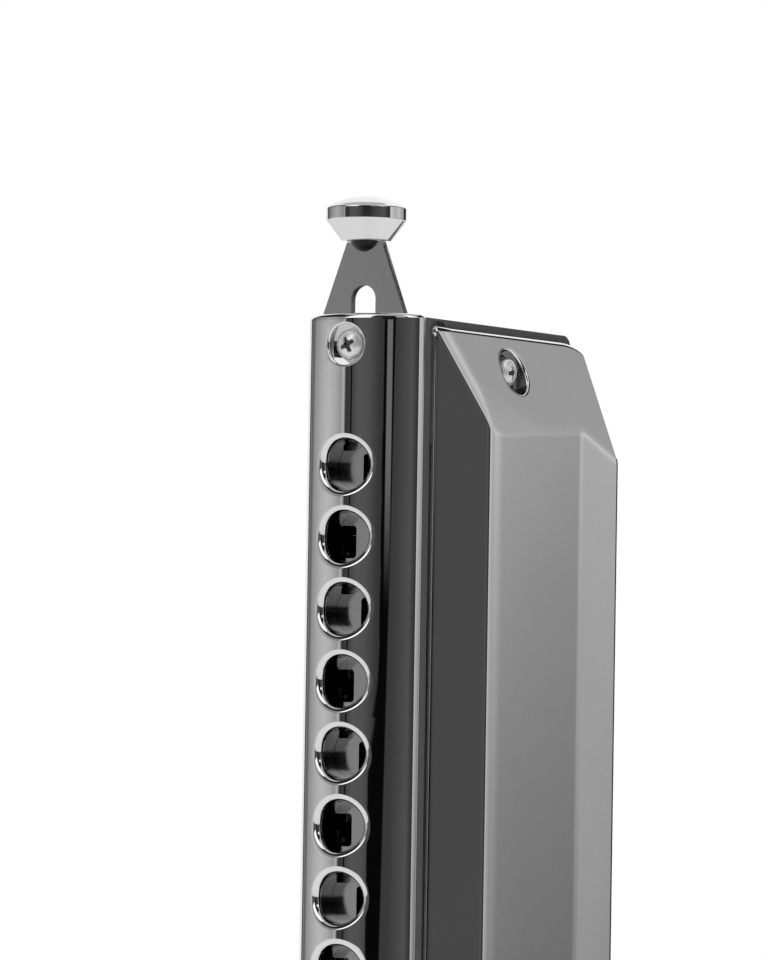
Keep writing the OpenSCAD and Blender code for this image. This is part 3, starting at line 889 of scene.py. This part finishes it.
def shader_math(tree, operation, first, second=None, third=None):
    node = tree.nodes.new("ShaderNodeMath")
    node.operation = operation
    for k, value in enumerate((first, second, third)):
        if value is None:
            continue
        if isinstance(value, (int, float)):
            node.inputs[k].default_value = value
        else:
            link(tree, value, node.inputs[k])
    return node.outputs[0]


def step_up(tree, value, start, end):
    """0 below start and 1 above end."""
    node = tree.nodes.new("ShaderNodeMapRange")
    node.interpolation_type = "SMOOTHSTEP"
    node.inputs["From Min"].default_value = start
    node.inputs["From Max"].default_value = end
    link(tree, value, node.inputs["Value"])
    return node.outputs["Result"]


def blend_level(tree, fac, a, b):
    """a where fac is 0 and b where it is 1."""
    rest = shader_math(tree, "SUBTRACT", 1.0, fac)
    first = shader_math(tree, "MULTIPLY", a, rest)
    return shader_math(tree, "MULTIPLY_ADD", b, fac, first)


def window(tree, value, low, high, soft):
    """1 between low and high and 0 outside, with soft ends."""
    rise = step_up(tree, value, low - soft, low + soft)
    fall = step_up(tree, value, high - soft, high + soft)
    return shader_math(tree, "SUBTRACT", rise, fall)


def times(tree, a, b):
    return shader_math(tree, "MULTIPLY", a, b)


def opposite(tree, value):
    return shader_math(tree, "SUBTRACT", 1.0, value)


def view_angles(tree):
    """Degrees round from the lips' direction and degrees above the horizon."""
    direction = tree.nodes.new("ShaderNodeTexCoord").outputs["Generated"]
    parts = tree.nodes.new("ShaderNodeSeparateXYZ")
    link(tree, direction, parts.inputs[0])
    ahead = shader_math(tree, "MULTIPLY", parts.outputs["Y"], -1.0)
    turn = shader_math(tree, "DEGREES", shader_math(tree, "ARCTAN2", parts.outputs["X"], ahead))
    rise = shader_math(tree, "DEGREES", shader_math(tree, "ARCSINE", parts.outputs["Z"]))
    return turn, rise


def room_ramp(tree, turn):
    share = shader_math(tree, "MULTIPLY_ADD", turn, 1 / 360, 0.5)
    node = tree.nodes.new("ShaderNodeValToRGB")
    link(tree, share, node.inputs["Fac"])
    ramp = node.color_ramp
    ramp.interpolation = "LINEAR"
    while len(ramp.elements) < len(ROOM):
        ramp.elements.new(0.5)
    for element, (degrees, shade) in zip(ramp.elements, ROOM):
        element.position = (degrees + 180) / 360
        level = light_level(shade)
        element.color = (level, level, level, 1)
    return node.outputs["Color"]


def softboxes(tree, turn, rise):
    """The room's ramp, where the right one fades with height and the left one is darker at the top."""
    low_rise = shader_math(tree, "MINIMUM", shader_math(tree, "MAXIMUM", rise, -5.0), 4.1)
    right_rear = window(tree, turn, 100, 175, 2)
    strongest = window(tree, turn, 128, 165, 5)
    fade_rate = shader_math(tree, "MULTIPLY_ADD", strongest, 0.09, 0.06)
    fade = shader_math(tree, "EXPONENT", times(tree, shader_math(tree, "SUBTRACT", low_rise, 3.0), fade_rate))
    level = times(tree, room_ramp(tree, turn), blend_level(tree, right_rear, 1.0, fade))
    left_top = times(tree, window(tree, turn, -108, -32, 1), step_up(tree, rise, 3, 6.5))
    return times(tree, level, shader_math(tree, "MULTIPLY_ADD", left_top, -0.32, 1.0))


def add_camera_stand(tree, level, turn, rise, fall):
    """The camera and its stand, wider at the foot, in the dark part of the room, and a thin upright."""
    foot_turn = shader_math(tree, "MULTIPLY_ADD", step_up(tree, fall, -1.4, -0.3), 13.0, turn)
    left_side = step_up(tree, foot_turn, 24.5, 26.5)
    right_side = step_up(tree, shader_math(tree, "MULTIPLY_ADD", rise, -2.0, turn), 33.5, 35.5)
    width = times(tree, left_side, opposite(tree, right_side))
    level = blend_level(tree, times(tree, width, step_up(tree, fall, -5.0, -4.7)), level, STAND_BLACK)
    above = times(tree, window(tree, turn, 23, 45, 1), step_up(tree, rise, 5.0, 5.3))
    level = blend_level(tree, above, level, ABOVE_BLACK)
    lens_height = times(tree, step_up(tree, fall, -4.6, -4.3), step_up(tree, rise, 1.8, 3.2))
    lens = times(tree, window(tree, turn, 30.5, 38, 0.8), lens_height)
    level = blend_level(tree, lens, level, light_level(LENS_SHADE))
    return blend_level(tree, window(tree, turn, -21.8, -19.6, 0.4), level, UPRIGHT_BLACK)


def add_ceiling(tree, level, turn, rise):
    """Dark above the softboxes except behind, with a wide light overhead and the lamps."""
    dark = times(tree, step_up(tree, rise, 27, 31), window(tree, turn, -118, 168, 4))
    level = blend_level(tree, dark, level, CEILING_BLACK)
    level = blend_level(tree, step_up(tree, rise, 52, 60), level, OVERHEAD_LEVEL)
    for low, high, bottom, top in LAMPS:
        lamp = times(tree, window(tree, turn, low, high, 1.5), window(tree, rise, bottom, top, 1))
        level = blend_level(tree, lamp, level, LAMP_LEVEL)
    return level


def make_room():
    world = bpy.data.worlds.new("studio")
    bpy.context.scene.world = world
    world.use_nodes = True
    tree = world.node_tree
    turn, rise = view_angles(tree)
    fall = shader_math(tree, "MULTIPLY", rise, -1.0)
    level = softboxes(tree, turn, rise)
    level = add_camera_stand(tree, level, turn, rise, fall)
    level = add_ceiling(tree, level, turn, rise)
    # Below the horizon, past the floor's edge, the sweep is pale
    level = blend_level(tree, step_up(tree, fall, 9, 16), level, SWEEP_LEVEL)
    # The camera sees a white sweep behind the object
    seen = tree.nodes.new("ShaderNodeLightPath").outputs["Is Camera Ray"]
    level = blend_level(tree, seen, level, 1.0)
    link(tree, level, tree.nodes["Background"].inputs["Color"])


make_room()


FLOOR_R = 0.9
FLOOR_BELOW = 0.0002
LIGHT_PLACE = (0, 0, 1.3)
LIGHT_SIZE = 1.6
LIGHT_POWER = 22


def make_floor():
    bm = bmesh.new()
    bmesh.ops.create_circle(bm, cap_ends=True, cap_tris=False, segments=96, radius=FLOOR_R)
    mesh = bpy.data.meshes.new("floor")
    bm.to_mesh(mesh)
    bm.free()
    mesh.materials.append(FLOOR)
    floor = bpy.data.objects.new("floor", mesh)
    floor.location.z = -FLOOR_BELOW
    bpy.context.collection.objects.link(floor)


def make_soft_light(name, place, size, power):
    """A wide light for the floor and the plastic, too soft for the chrome to show."""
    data = bpy.data.lights.new(name, "AREA")
    data.shape = "DISK"
    data.size = size
    data.energy = power
    lamp = bpy.data.objects.new(name, data)
    lamp.location = place
    lamp.rotation_euler = Vector(place).to_track_quat("Z", "Y").to_euler()
    lamp.visible_glossy = False
    bpy.context.collection.objects.link(lamp)


make_floor()
make_soft_light("overhead_light", LIGHT_PLACE, LIGHT_SIZE, LIGHT_POWER)
bpy.context.scene.view_settings.view_transform = "Standard"
